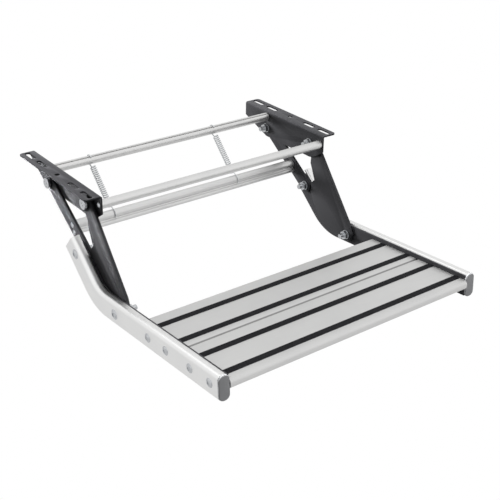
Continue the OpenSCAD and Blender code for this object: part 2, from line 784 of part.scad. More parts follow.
// Wire points as [along the spring, across it, sideways]
function hook_point(centre, radius, angle) = [centre + radius * cos(angle), radius * sin(angle), 0];
function eased(a, b, t) = a + (b - a) * (1 - cos(180 * t)) / 2;
function tip_run(p, q) = p + (p - q) * spring_wire / norm(p - q);
upper_arc = [for (i = [0 : hook_steps]) hook_point(0, upper_hook, upper_tip + (270 - upper_tip) * i / hook_steps)];
upper_lead = [for (i = [1 : lead_steps])
  [coil_from * i / lead_steps, eased(-upper_hook, -coil_radius, i / lead_steps), 0]];
coil_count = (spring_turns + 0.5) * coil_steps;
coil = [for (i = [1 : coil_count])
  [coil_from + (coil_to - coil_from) * i / coil_count, -coil_radius * cos(360 * i / coil_steps),
   coil_radius * sin(360 * i / coil_steps)]];
lower_lead = [for (i = [1 : lead_steps])
  [coil_to + (spring_span - coil_to) * i / lead_steps, eased(coil_radius, lower_hook, i / lead_steps), 0]];
lower_steps = 6;
lower_arc = [for (i = [1 : lower_steps])
  hook_point(spring_span, lower_hook, 90 + (lower_tip - 90) * i / lower_steps)];
wire_body = concat(upper_arc, upper_lead, coil, lower_lead, lower_arc);
wire_last = len(wire_body) - 1;
wire = concat([tip_run(wire_body[0], wire_body[1])], wire_body,
  [tip_run(wire_body[wire_last], wire_body[wire_last - 1])]);

// Least gap of the wire to itself, measured between points more than half a coil apart
wire_gap = min([for (i = [0 : len(wire) - 1]) for (j = [i + 5 : 1 : min(len(wire) - 1, i + 20)])
  norm(wire[i] - wire[j])]) - spring_wire;
echo(spring_gap_to_itself = wire_gap);

function normed(v) = v / norm(v);
function heading(i) = normed(wire[min(i + 1, len(wire) - 1)] - wire[max(i - 1, 0)]);
function side_way(d) = normed(cross(d, abs(d[0]) > 0.9 ? [0, 0, 1] : [1, 0, 0]));

// Carries a cross direction along the wire without twist
function carried(i, last) = let (d = heading(i), v = last - (last * d) * d) normed(v);
function frames(i, last) = i >= len(wire) ? [] : let (v = carried(i, last)) concat([v], frames(i + 1, v));

module spring_wire_solid() {
  count = len(wire);
  across = frames(0, side_way(heading(0)));
  points = [for (i = [0 : count - 1]) for (k = [0 : wire_sides - 1])
    let (a = 360 * k / wire_sides, d = heading(i), u = across[i], v = cross(d, u))
    wire[i] + spring_wire / 2 * (cos(a) * u + sin(a) * v)];
  ring = function (i, k) i * wire_sides + k % wire_sides;
  sides = [for (i = [0 : count - 2]) for (k = [0 : wire_sides - 1]) each [
    [ring(i, k), ring(i + 1, k), ring(i + 1, k + 1)], [ring(i, k), ring(i + 1, k + 1), ring(i, k + 1)]]];
  first = [for (k = [1 : wire_sides - 2]) [0, k, k + 1]];
  end = (count - 1) * wire_sides;
  last = [for (k = [1 : wire_sides - 2]) [end, end + k + 1, end + k]];
  polyhedron(points, concat(sides, first, last));
}

module spring_at(x) {
  translate([x, rear_tube_at[0], rear_tube_at[1]]) multmatrix([
    [0, 0, 1, 0],
    [cos(spring_angle), sin(spring_angle), 0, 0],
    [sin(spring_angle), -cos(spring_angle), 0, 0],
    [0, 0, 0, 1]
  ]) spring_wire_solid();
}

module spring_l() { color("#b9bbbd") spring_at(left_spring_in - link_in); }
module spring_r() { color("#b9bbbd") spring_at(link_in - right_spring_in); }

// Nodes

bracket_l();
bracket_r();
front_tube();
rear_tube();
front_tube_screw_l();
front_tube_screw_r();
rear_tube_screw_l();
rear_tube_screw_r();
rear_pivot_bolt_l();
rear_pivot_bolt_r();
rear_pivot_nut_l();
rear_pivot_nut_r();
front_pivot_bolt_l();
front_pivot_bolt_r();
front_pivot_nut_l();
front_pivot_nut_r();
rear_link_l();
rear_link_r();
rear_bush_l();
rear_bush_r();
lower_bar();
bar_screw_l();
bar_screw_r();
lobe_screw_l();
lobe_screw_r();
front_arm_l();
front_arm_r();
front_bush_l();
front_bush_r();
low_pivot_nut_l();
low_pivot_nut_r();
rail_l();
rail_r();
inner_plate_l();
inner_plate_r();
end_cap_l();
end_cap_r();
tread_rear();
tread_front();
strip_1();
strip_2();
strip_3();
strip_4();
tread_screw_l1();
tread_screw_l2();
tread_screw_l3();
tread_screw_l4();
tread_screw_r1();
tread_screw_r2();
tread_screw_r3();
tread_screw_r4();
rear_rail_bolt_l();
rear_rail_bolt_r();
rear_rail_nut_l();
rear_rail_nut_r();
low_pivot_bolt_l();
low_pivot_bolt_r();
spring_l();
spring_r();
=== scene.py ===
# %% [markdown]
# A pull out step for a caravan door. Two black brackets bolt under the floor, and a tread of
# aluminium planks hangs from them on links, so that it swings out for use and back for travel.
# The CAD model is loaded first. It gives every piece its place, and Blender adds the finishes,
# the rounded edges, the round wire of the springs, the bolt threads and the light.

# %% Load the CAD frame
import json
import math

import bmesh
import bpy
from mathutils import Matrix, Vector


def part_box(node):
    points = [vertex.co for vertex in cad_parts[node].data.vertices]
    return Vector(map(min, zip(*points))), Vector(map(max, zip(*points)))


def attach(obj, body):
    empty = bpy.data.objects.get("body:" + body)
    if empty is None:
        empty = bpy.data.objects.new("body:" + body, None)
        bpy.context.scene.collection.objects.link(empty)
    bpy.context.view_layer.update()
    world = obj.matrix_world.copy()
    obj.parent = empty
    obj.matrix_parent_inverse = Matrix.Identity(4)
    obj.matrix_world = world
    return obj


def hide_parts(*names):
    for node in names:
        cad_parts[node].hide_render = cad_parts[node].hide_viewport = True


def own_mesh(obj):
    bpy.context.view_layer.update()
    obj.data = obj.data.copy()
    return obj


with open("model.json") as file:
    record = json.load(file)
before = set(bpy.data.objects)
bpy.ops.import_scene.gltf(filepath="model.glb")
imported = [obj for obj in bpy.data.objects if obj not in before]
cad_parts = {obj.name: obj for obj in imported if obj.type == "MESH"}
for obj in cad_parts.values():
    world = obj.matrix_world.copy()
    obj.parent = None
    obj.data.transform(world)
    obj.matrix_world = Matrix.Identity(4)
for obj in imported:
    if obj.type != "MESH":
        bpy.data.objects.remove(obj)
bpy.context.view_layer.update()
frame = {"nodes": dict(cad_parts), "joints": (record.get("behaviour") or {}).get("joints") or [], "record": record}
MM = 0.001
scene = bpy.context.scene

# %% [markdown]
# Every finish is built from shader nodes. A few small helpers keep that short. One turns an sRGB
# hex value, as a paint chart gives it, into the linear colour that Blender works in. One adds a
# node, sets its values and links its inputs. The others add the nodes that most finishes share:
# noise of a given grain in mm, colour and value ranges, and a bump. Most of the noise lies between
# 0.3 and 0.7, so colour and roughness change between those two.

# %% Colour and node helpers
def paint(hex_value):
    parts = [int(hex_value[i:i + 2], 16) / 255 for i in (1, 3, 5)]
    linear = [c / 12.92 if c <= 0.04045 else ((c + 0.055) / 1.055) ** 2.4 for c in parts]
    return (*linear, 1.0)


def add_node(tree, kind, values=None, links=None, **settings):
    node = tree.nodes.new(kind)
    for name, value in settings.items():
        setattr(node, name, value)
    for socket, value in (values or {}).items():
        node.inputs[socket].default_value = value
    for socket, source in (links or {}).items():
        tree.links.new(source, node.inputs[socket])
    return node


def new_material(name):
    material = bpy.data.materials.new(name)
    material.use_nodes = True
    shader = material.node_tree.nodes["Principled BSDF"]
    return material, material.node_tree, shader


def object_place(tree):
    return add_node(tree, "ShaderNodeTexCoord").outputs["Object"]


def noise(tree, place, grain_mm, detail, roughness=0.5):
    values = {"Scale": 1 / (grain_mm * MM), "Detail": detail, "Roughness": roughness}
    return add_node(tree, "ShaderNodeTexNoise", values, {"Vector": place}).outputs["Fac"]


def colour_steps(tree, source, stops):
    ramp = add_node(tree, "ShaderNodeValToRGB", links={"Fac": source})
    elements = ramp.color_ramp.elements
    for element, (position, hex_value) in zip(elements, stops):
        element.position = position
        element.color = paint(hex_value)
    return ramp.outputs["Color"]


def value_range(tree, source, start, end, low, high, smooth=False):
    values = {"From Min": start, "From Max": end, "To Min": low, "To Max": high}
    curve = "SMOOTHSTEP" if smooth else "LINEAR"
    node = add_node(tree, "ShaderNodeMapRange", values, {"Value": source}, interpolation_type=curve)
    return node.outputs["Result"]


def bump(tree, height, strength, depth_mm):
    values = {"Strength": strength, "Distance": depth_mm * MM}
    return add_node(tree, "ShaderNodeBump", values, {"Height": height}).outputs["Normal"]


def link_shader(tree, shader, sources):
    for socket, source in sources.items():
        tree.links.new(source, shader.inputs[socket])


NOISE_LOW, NOISE_HIGH = 0.3, 0.7
print("mid grey in linear:", [round(c, 3) for c in paint("#808080")[:3]])

# %% [markdown]
# The brackets, links, arms and inner plates are pressed steel with a black powder coat. Powder
# melts into a satin skin with a fine orange peel about 0.8 mm across, so the bump is soft and
# the roughness wanders a little. The grain is drawn at 1.6 mm so that it still shows.

# %% Black powder coat on steel
def black_powder_coat(colours, rough, gloss):
    material, tree, shader = new_material("black_powder_coat")
    place = object_place(tree)
    peel = noise(tree, place, grain_mm=1.6, detail=2.0)
    cloud = noise(tree, place, grain_mm=45, detail=4.0)
    link_shader(tree, shader, {
        "Base Color": colour_steps(tree, cloud, zip((NOISE_LOW, NOISE_HIGH), colours)),
        "Roughness": value_range(tree, cloud, NOISE_LOW, NOISE_HIGH, *rough),
        "Normal": bump(tree, peel, strength=0.12, depth_mm=0.1),
    })
    shader.inputs["Specular IOR Level"].default_value = gloss
    return material


COAT = black_powder_coat(colours=("#313133", "#373739"), rough=(0.40, 0.52), gloss=0.045)
print("made", COAT.name)

# %% [markdown]
# Rails, planks and cross bars are extruded aluminium with a satin anodised skin. The die leaves
# fine lines along the length, so the noise is stretched along that direction: along X for the
# bars and the planks, and along Y for the side rails. The lines are drawn 1.5 mm apart, coarser
# than the real ones, so that they show. The inside of the rails is given a much darker colour,
# which is painted shade inside the channel. The nose of the rear plank meets the front plank in a
# narrow joint, and the plank's colour is darkened there as painted shade in the joint.

# %% Satin anodised aluminium
ALONG_X, ALONG_Y = 0, 1
LINE_STRETCH = 0.015
LINE_SHARE = 0.6


def anodised_aluminium(name, along, colours, rough):
    material, tree, shader = new_material(name)
    place = object_place(tree)
    stretch = [LINE_STRETCH if axis == along else 1.0 for axis in range(3)]
    drawn = add_node(tree, "ShaderNodeMapping", {"Scale": stretch}, {"Vector": place})
    lines = noise(tree, drawn.outputs["Vector"], grain_mm=1.5, detail=3.0, roughness=0.6)
    cloud = noise(tree, place, grain_mm=60, detail=3.0)
    both = add_node(tree, "ShaderNodeMix", {"Factor": LINE_SHARE}, {"A": cloud, "B": lines},
                    data_type="FLOAT").outputs["Result"]
    shader.inputs["Metallic"].default_value = 1.0
    link_shader(tree, shader, {
        "Base Color": colour_steps(tree, both, zip((NOISE_LOW, NOISE_HIGH), colours)),
        "Roughness": value_range(tree, lines, NOISE_LOW, NOISE_HIGH, *rough),
        "Normal": bump(tree, lines, strength=0.05, depth_mm=0.05),
    })
    return material


# Painted shade: the base colour of the rear plank's nose is darkened to the given share up to 3.7 mm from its
# front edge, and is back to full at 4.9 mm, for the shade in the joint with the front plank.
def paint_shade_in_joint(material, edge, dark_to=3.7 * MM, clear_from=4.9 * MM, shade=0.5):
    tree = material.node_tree
    base = tree.nodes["Principled BSDF"].inputs["Base Color"]
    colour = base.links[0].from_socket
    split = add_node(tree, "ShaderNodeSeparateXYZ", links={"Vector": object_place(tree)})
    level = value_range(tree, split.outputs["Y"], edge + dark_to, edge + clear_from, shade, 1.0, smooth=True)
    dim = add_node(tree, "ShaderNodeVectorMath", links={0: colour, 1: level}, operation="MULTIPLY")
    tree.links.new(dim.outputs["Vector"], base)


PLANK_LOOK = {"along": ALONG_X, "colours": ("#cfcfcf", "#d8d8d7"), "rough": (0.56, 0.66)}
PLANK_SKIN = anodised_aluminium("anodised_aluminium_plank", **PLANK_LOOK)
PAINTED_JOINT_SHADE_PLANK_SKIN = anodised_aluminium("anodised_aluminium_plank_painted_joint_shade", **PLANK_LOOK)
REAR_PLANK_NOSE = min(v.co.y for v in frame["nodes"]["tread_rear"].data.vertices)
paint_shade_in_joint(PAINTED_JOINT_SHADE_PLANK_SKIN, REAR_PLANK_NOSE)
RAIL_SKIN = anodised_aluminium("anodised_aluminium_rail", ALONG_Y, ("#e5e5e5", "#ececeb"), (0.40, 0.48))
BAR_SKIN = anodised_aluminium("anodised_aluminium_bar", ALONG_X, ("#d2d2d2", "#dbdbda"), (0.42, 0.52))
# Painted shade: the inside of the rail channel is given this much darker colour, for the shade inside the channel.
PAINTED_SHADE_BORE_SKIN = anodised_aluminium("aluminium_bore_painted_shade", ALONG_Y, ("#5c5c5c", "#666665"), (0.5, 0.6))
print("made", PLANK_SKIN.name, PAINTED_JOINT_SHADE_PLANK_SKIN.name, RAIL_SKIN.name, BAR_SKIN.name, PAINTED_SHADE_BORE_SKIN.name)

# %% [markdown]
# Bolts, nuts and screws are zinc plated steel: a bright, slightly bluish metal with a cloudy
# bloom. The springs are drawn steel wire with the same kind of plating, a little brighter.

# %% Zinc plate and spring wire
BLOOM_LOW, BLOOM_HIGH = 0.35, 0.65


def zinc_plate(name, colours, rough):
    material, tree, shader = new_material(name)
    bloom = noise(tree, object_place(tree), grain_mm=4, detail=5.0)
    shader.inputs["Metallic"].default_value = 1.0
    link_shader(tree, shader, {
        "Base Color": colour_steps(tree, bloom, zip((BLOOM_LOW, BLOOM_HIGH), colours)),
        "Roughness": value_range(tree, bloom, NOISE_LOW, NOISE_HIGH, *rough),
    })
    return material


ZINC = zinc_plate("zinc_plated_steel", colours=("#b3b5b8", "#c9cbcd"), rough=(0.24, 0.38))
WIRE = zinc_plate("drawn_spring_wire", colours=("#cdcfd1", "#dcdedf"), rough=(0.28, 0.42))
print("made", ZINC.name, WIRE.name)

# %% [markdown]
# The tread strips are black EPDM rubber with a dull, faintly dusty skin. The end caps are grey
# moulded polypropylene with a fine spark-eroded texture, and the bushes are black nylon.

# %% Rubber and moulded plastics
def moulded(name, colours, rough, grain_mm, relief, gloss=0.2):
    material, tree, shader = new_material(name)
    place = object_place(tree)
    grit = noise(tree, place, grain_mm, detail=3.0)
    cloud = noise(tree, place, grain_mm=25, detail=4.0)
    link_shader(tree, shader, {
        "Base Color": colour_steps(tree, cloud, zip((NOISE_LOW, NOISE_HIGH), colours)),
        "Roughness": value_range(tree, grit, NOISE_LOW, NOISE_HIGH, *rough),
        "Normal": bump(tree, grit, relief, depth_mm=0.1),
    })
    shader.inputs["Specular IOR Level"].default_value = gloss
    return material


RUBBER = moulded("black_epdm_rubber", ("#121214", "#171719"), (0.67, 0.77), grain_mm=1.2, relief=0.25)
CAP_PLASTIC = moulded("grey_polypropylene", ("#a8a9ab", "#b0b1b3"), (0.50, 0.60), grain_mm=0.9, relief=0.15)
NYLON = moulded("black_nylon", ("#131315", "#18181a"), (0.45, 0.55), grain_mm=0.8, relief=0.1)
print("made", RUBBER.name, CAP_PLASTIC.name, NYLON.name)

# %% [markdown]
# The CAD nodes carry the real shapes. Their record says which slot each one takes, and each slot
# gets the finish that was just made. The rails, planks and bars share one slot, so their names
# decide which way the extrusion lines run.

# %% Finishes on the CAD nodes
SLOT_FINISH = {"black_steel": COAT, "zinc": ZINC, "rubber": RUBBER, "cap_plastic": CAP_PLASTIC,
               "bush_plastic": NYLON, "spring_steel": WIRE, "aluminium": BAR_SKIN}
node_slot = {s["node"]: s["material_slot"] for s in frame["record"]["subparts"]}


def finish_of(node):
    if node.startswith("rail_"):
        return RAIL_SKIN
    if node == "tread_rear":
        return PAINTED_JOINT_SHADE_PLANK_SKIN
    if node.startswith("tread_") and "screw" not in node:
        return PLANK_SKIN
    return SLOT_FINISH[node_slot[node]]


for node, cad_object in frame["nodes"].items():
    cad_object.data.materials.clear()
    cad_object.data.materials.append(finish_of(node))
print("finished", len(frame["nodes"]), "CAD nodes")

# %% [markdown]
# Pressed plates never have knife edges. A copy of each bracket, link, arm and inner plate is welded
# into one mesh, its flat faces are joined, and a narrow bevel rounds the edges, which then catch the
# light. The copy stands in for the CAD node, which stays in the scene, hidden.

# %% Rounded edges
node_body = {n: b for b, nodes in frame["record"]["behaviour"]["bodies"].items() for n in nodes}
WELD_DISTANCE = 0.002 * MM
FLAT_ANGLE = math.radians(0.5)
BEVEL_ANGLE = math.radians(40)
SHARP_ANGLE = math.radians(35)


def add_object(name, data):
    piece = bpy.data.objects.new(name, data)
    scene.collection.objects.link(piece)
    return piece


def apply_modifiers(piece):
    solid = piece.evaluated_get(bpy.context.evaluated_depsgraph_get())
    mesh = bpy.data.meshes.new_from_object(solid)
    piece.modifiers.clear()
    piece.data = mesh


def smooth_faces(mesh):
    mesh.shade_smooth()
    mesh.set_sharp_from_angle(angle=SHARP_ANGLE)


def stand_for(piece, node):
    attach(piece, node_body[node])
    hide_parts(node)


def round_edges(node, width_mm):
    mesh = frame["nodes"][node].data.copy()
    mesh.name = node + "_rounded"
    work = bmesh.new()
    work.from_mesh(mesh)
    bmesh.ops.remove_doubles(work, verts=work.verts, dist=WELD_DISTANCE)
    bmesh.ops.dissolve_limit(work, angle_limit=FLAT_ANGLE, verts=work.verts, edges=work.edges)
    work.to_mesh(mesh)
    work.free()
    piece = add_object(node + "_rounded", mesh)
    bevel = piece.modifiers.new("edge", "BEVEL")
    bevel.width = width_mm * MM
    bevel.segments = 2
    bevel.limit_method = "ANGLE"
    bevel.angle_limit = BEVEL_ANGLE
    bevel.use_clamp_overlap = True
    apply_modifiers(piece)
    smooth_faces(piece.data)
    stand_for(piece, node)
    return piece


EDGE_WIDTH_MM = {"bracket": 0.8, "rear_link": 0.7, "front_arm": 0.7, "inner_plate": 0.5}
for plate, width_mm in EDGE_WIDTH_MM.items():
    for node in (plate + "_l", plate + "_r"):
        piece = round_edges(node, width_mm)
        print(piece.name, len(piece.data.polygons), "faces")

# %% [markdown]
# The side rails are one channel profile, straight under the tread, bent once and straight again up
# to the links. The visible rail is a sweep of that profile with fine steps round the curves, so
# that the light runs smoothly along the bend. The sizes are those of the CAD model, in mm, apart
# from the corners and lips of the channel, which are rounder here. Places along the rail are
# measured from the lower pivot.

# %% Side rails as a fine sweep
SIDES = {"l": -1, "r": 1}
RAIL_OUT = 302
RAIL_HEIGHT = 48
RAIL_FRONT = 331.8
TREAD_RISE = math.radians(4)


def arc(centre, radius, start, end, steps=20):
    angles = [math.radians(start + (end - start) * i / steps) for i in range(steps + 1)]
    return [(centre[0] + radius * math.cos(a), centre[1] + radius * math.sin(a)) for a in angles]


def channel_face(inset, mouth=283.15, corner=8.5, lip=5):
    side = RAIL_OUT - corner
    up = RAIL_HEIGHT / 2 - corner
    edge = RAIL_HEIGHT / 2 - lip
    upper_half = arc((mouth + lip, edge), lip - inset, 180, 90) + arc((side, up), corner - inset, 90, 0)
    lower_half = arc((side, -up), corner - inset, 0, -90) + arc((mouth + lip, -edge), lip - inset, -90, -180)
    return upper_half + lower_half


def rail_section(wall=2.5):
    return channel_face(0) + channel_face(wall)[::-1]


def rail_stations(corner=74, angle=45, radius=85, rise=128, steps=24):
    tangent = radius * math.tan(math.radians(angle / 2))
    start = corner - tangent
    stations = [(-RAIL_FRONT, 0, 0)]
    for i in range(steps + 1):
        a = math.radians(angle * i / steps)
        stations.append((start + radius * math.sin(a), radius - radius * math.cos(a), a))
    a = math.radians(angle)
    stations.append((corner + rise * math.cos(a), rise * math.sin(a), a))
    return stations


def node_yz(node):
    low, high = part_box(node)
    return (low[1] + high[1]) / 2, (low[2] + high[2]) / 2


def loft_mesh(name, points, ring_count, ring_size):
    faces = []
    for i in range(ring_count - 1):
        here, there = i * ring_size, (i + 1) * ring_size
        for k in range(ring_size):
            j = (k + 1) % ring_size
            faces.append((here + k, here + j, there + j, there + k))
    last_ring = (ring_count - 1) * ring_size
    faces.append(tuple(range(ring_size)))
    faces.append(tuple(range(last_ring, last_ring + ring_size)))
    mesh = bpy.data.meshes.new(name)
    mesh.from_pydata(points, [], faces)
    return mesh


def lofted(node, side, rings, finish, inner_painted_shade=None):
    tilt = Matrix.Rotation(-TREAD_RISE, 3, "X")
    low_y, low_z = node_yz("low_pivot_bolt_r")
    points = []
    for ring in rings:
        for x, y, z in ring:
            place = tilt @ Vector((0, y, z)) * MM
            points.append((side * x * MM, low_y + place.y, low_z + place.z))
    ring_size = len(rings[0])
    mesh = loft_mesh(node + "_loft", points, len(rings), ring_size)
    mesh.materials.append(finish)
    # The inside faces of the profile take the darker colour of painted shade.
    if inner_painted_shade:
        # The second half of the profile is the inside, and the last two faces are the ends.
        mesh.materials.append(inner_painted_shade)
        for i, face in enumerate(mesh.polygons[:-2]):
            face.material_index = int(ring_size // 2 <= i % ring_size < ring_size - 1)
    work = bmesh.new()
    work.from_mesh(mesh)
    bmesh.ops.recalc_face_normals(work, faces=work.faces)
    work.to_mesh(mesh)
    work.free()
    smooth_faces(mesh)
    piece = add_object(node + "_loft", mesh)
    stand_for(piece, node)
    return piece


def swept_rail(node, side):
    section = rail_section()
    rings = []
    for y, z, a in rail_stations():
        rings.append([(x, y - up * math.sin(a), z + up * math.cos(a)) for x, up in section])
    return lofted(node, side, rings, RAIL_SKIN, inner_painted_shade=PAINTED_SHADE_BORE_SKIN)


for letter, side in SIDES.items():
    piece = swept_rail("rail_" + letter, side)
    print(piece.name, len(piece.data.polygons), "faces")

# %% [markdown]
# The end caps are moulded with fuller corners than the rail, and their front edge is rounded. Each
# one is a loft through a few outlines, from the rail's end to the front face.

# %% End caps
def cap_outline(inset, inner=280, corner=10):
    up = RAIL_HEIGHT / 2 - corner
    radius = corner - inset
    outer_side = arc((RAIL_OUT - corner, up), radius, 90, 0) + arc((RAIL_OUT - corner, -up), radius, 0, -90)
    inner_side = arc((inner + corner, -up), radius, -90, -180) + arc((inner + corner, up), radius, 180, 90)
    return outer_side + inner_side


def end_cap(node, side, thickness=4, edge=1.6, edge_steps=4):
    layers = [(0, 0), (thickness - edge, 0)]
    for i in range(1, edge_steps + 1):
        a = math.radians(90 * i / edge_steps)
        layers.append((thickness - edge + edge * math.sin(a), edge - edge * math.cos(a)))
    rings = [[(x, -RAIL_FRONT - out, z) for x, z in cap_outline(inset)] for out, inset in layers]
    return lofted(node, side, rings, CAP_PLASTIC)


for letter, side in SIDES.items():
    piece = end_cap("end_cap_" + letter, side)
    print(piece.name, len(piece.data.polygons), "faces")

# %% [markdown]
# A round wire is a circle swept along a path. Geometry Nodes make the sweep, and the result is kept
# as a plain mesh. The springs and the bolt threads are both made in this way.

# %% Wire swept by Geometry Nodes
def wire_tree():
    tree = bpy.data.node_groups.new("swept_wire", "GeometryNodeTree")
    tree.interface.new_socket("Geometry", in_out="INPUT", socket_type="NodeSocketGeometry")
    radius = tree.interface.new_socket("Wire radius", in_out="INPUT", socket_type="NodeSocketFloat")
    sides = tree.interface.new_socket("Sides", in_out="INPUT", socket_type="NodeSocketInt")
    finish = tree.interface.new_socket("Finish", in_out="INPUT", socket_type="NodeSocketMaterial")
    tree.interface.new_socket("Geometry", in_out="OUTPUT", socket_type="NodeSocketGeometry")
    inputs = add_node(tree, "NodeGroupInput").outputs
    path = add_node(tree, "GeometryNodeMeshToCurve", links={"Mesh": inputs["Geometry"]})
    ring = add_node(tree, "GeometryNodeCurvePrimitiveCircle",
                    links={"Radius": inputs["Wire radius"], "Resolution": inputs["Sides"]})
    tube = add_node(tree, "GeometryNodeCurveToMesh", {"Fill Caps": True},
                    {"Curve": path.outputs["Curve"], "Profile Curve": ring.outputs["Curve"]})
    smooth = add_node(tree, "GeometryNodeSetShadeSmooth", links={"Geometry": tube.outputs["Mesh"]})
    plain = add_node(tree, "GeometryNodeRealizeInstances", links={"Geometry": smooth.outputs["Geometry"]})
    dressed = add_node(tree, "GeometryNodeSetMaterial",
                       links={"Geometry": plain.outputs["Geometry"], "Material": inputs["Finish"]})
    output = add_node(tree, "NodeGroupOutput")
    tree.links.new(dressed.outputs["Geometry"], output.inputs["Geometry"])
    return tree, {"radius": radius.identifier, "sides": sides.identifier, "finish": finish.identifier}


SWEPT_WIRE, WIRE_INPUT = wire_tree()


def path_mesh(name, paths):
    points = [tuple(p) for path in paths for p in path]
    edges = []
    start = 0
    for path in paths:
        edges += [(start + i, start + i + 1) for i in range(len(path) - 1)]
        start += len(path)
    mesh = bpy.data.meshes.new(name)
    mesh.from_pydata(points, edges, [])
    return mesh


def swept(name, paths, radius, sides, finish):
    piece = add_object(name, path_mesh(name, paths))
    nodes = piece.modifiers.new("wire", "NODES")
    nodes.node_group = SWEPT_WIRE
    nodes[WIRE_INPUT["radius"]] = radius
    nodes[WIRE_INPUT["sides"]] = sides
    nodes[WIRE_INPUT["finish"]] = finish
    apply_modifiers(piece)
    return piece


print("wire tree with", len(SWEPT_WIRE.nodes), "nodes")

# %% [markdown]
# The tension springs are wound from 2.4 mm wire. Each wire starts in a hook over the rear tube,
# runs down a close coil and ends in a second hook in front of the lower bar. The path is the same
# rule as in the CAD model, with finer steps. Places come from the joints of the frame. The bar
# ends 4 mm nearer to the tube when the step is stowed.

# %% Springs
WIRE_RADIUS = 1.2 * MM
WIRE_SIDES = 12
COIL_RADIUS = 5.3 * MM
COIL_TURNS = 21.5
HOOK_RADIUS = 10.5 * MM
HOOK_TO_COIL = 15 * MM
UPPER_HOOK_FROM, UPPER_HOOK_TO = 104, 270
LOWER_HOOK_FROM, LOWER_HOOK_TO = 90, 24
BAR_TO_RAIL_PIVOT = 62 * MM
SPRING_X = {"l": -187 * MM, "r": 117 * MM}

JOINT = {j["name"]: j for j in frame["joints"]}
REAR_TUBE = Vector(JOINT["spring_swing"]["pos_m"][1:])
REAR_PIVOT = Vector(JOINT["fold"]["pos_m"][1:])
RAIL_PIVOT = Vector(JOINT["step_level"]["pos_m"][1:])
LOWER_BAR = RAIL_PIVOT - (RAIL_PIVOT - REAR_PIVOT).normalized() * BAR_TO_RAIL_PIVOT
SPRING_ALONG = (LOWER_BAR - REAR_TUBE).normalized()
SPRING_ACROSS = Vector((SPRING_ALONG.y, -SPRING_ALONG.x))
SPRING_SPAN = (LOWER_BAR - REAR_TUBE).length


def eased(start, end, t):
    return start + (end - start) * (1 - math.cos(math.pi * t)) / 2


def spring_path(upper_steps=24, lead_steps=8, steps_per_turn=20, lower_steps=12):
    coil_from, coil_to = HOOK_TO_COIL, SPRING_SPAN - HOOK_TO_COIL
    upper_hook = arc((0, 0), HOOK_RADIUS, UPPER_HOOK_FROM, UPPER_HOOK_TO, upper_steps)
    points = [(along, side, 0) for along, side in upper_hook]
    for i in range(1, lead_steps + 1):
        t = i / lead_steps
        points.append((coil_from * t, eased(-HOOK_RADIUS, -COIL_RADIUS, t), 0))
    count = int(COIL_TURNS * steps_per_turn)
    for i in range(1, count + 1):
        a = 2 * math.pi * i / steps_per_turn
        along = coil_from + (coil_to - coil_from) * i / count
        points.append((along, -COIL_RADIUS * math.cos(a), COIL_RADIUS * math.sin(a)))
    for i in range(1, lead_steps + 1):
        t = i / lead_steps
        points.append((coil_to + HOOK_TO_COIL * t, eased(COIL_RADIUS, HOOK_RADIUS, t), 0))
    lower_hook = arc((SPRING_SPAN, 0), HOOK_RADIUS, LOWER_HOOK_FROM, LOWER_HOOK_TO, lower_steps)
    points += [(along, side, 0) for along, side in lower_hook[1:]]
    points = [Vector(p) for p in points]
    first = points[0] + (points[0] - points[1]).normalized() * 2 * WIRE_RADIUS
    last = points[-1] + (points[-1] - points[-2]).normalized() * 2 * WIRE_RADIUS
    return [first] + points + [last]


def spring(name, node, x):
    path = []
    for along, side, out in spring_path():
        yz = REAR_TUBE + SPRING_ALONG * along + SPRING_ACROSS * side
        path.append(Vector((x + out, yz.x, yz.y)))
    piece = swept(name, [path], WIRE_RADIUS, WIRE_SIDES, WIRE)
    stand_for(piece, node)
    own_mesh(piece)
    return piece


for name, letter in [("spring_wire_left", "l"), ("spring_wire_right", "r")]:
    piece = spring(name, "spring_" + letter, SPRING_X[letter])
    print(piece.name, len(piece.data.polygons), "faces")

# %% [markdown]
# Behind each nut a length of bolt stands out, and on the real step its thread is plain to see. A
# thread is a helix, so the same swept wire makes it: a fine ridge with a 1.5 mm pitch, wound
# round the plain shank of the CAD bolt, one mesh for each body.

# %% Bolt threads
THREAD_LENGTH = 9.0 * MM
THREAD_FROM_TIP = 9.4 * MM
TIP_CHAMFER = 0.6 * MM
RIDGE_RADIUS = 0.42 * MM
RIDGE_SIDES = 5


def thread_path(at, start, side, pitch=1.5 * MM, radius=4.82 * MM, steps=16):
    count = int(THREAD_LENGTH / pitch * steps)
    path = []
    for i in range(count + 1):
        a = 2 * math.pi * i / steps
        x = start - pitch * i / steps
        path.append(Vector((side * x, at[0] + radius * math.cos(a), at[1] + radius * math.sin(a))))
    return path


def threads(name, body, bolts):
    paths = []
    for bolt in bolts:
        for letter, side in SIDES.items():
            node = bolt + "_" + letter
            low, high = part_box(node)
            tip = min(abs(low[0]), abs(high[0])) + TIP_CHAMFER
            paths.append(thread_path(node_yz(node), tip + THREAD_FROM_TIP, side))
    piece = swept(name, paths, RIDGE_RADIUS, RIDGE_SIDES, ZINC)
    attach(piece, body)
    return piece


THREADS = [
    ("frame_bolt_threads", "frame", ["rear_pivot_bolt", "front_pivot_bolt"]),
    ("rail_bolt_threads", "step", ["rear_rail_bolt"]),
    ("arm_bolt_threads", "front_arms", ["low_pivot_nut"]),
]
for name, body, bolts in THREADS:
    piece = threads(name, body, bolts)
    print(piece.name, len(piece.data.polygons), "faces")

# %% [markdown]
# The photograph was taken from the front left and a little above. The camera's place was fitted to
# known points of the part, such as the bolt heads and the ends of the rails.

# %% Camera
SENSOR_WIDTH = 36.0
PICTURE_WIDTH = 500


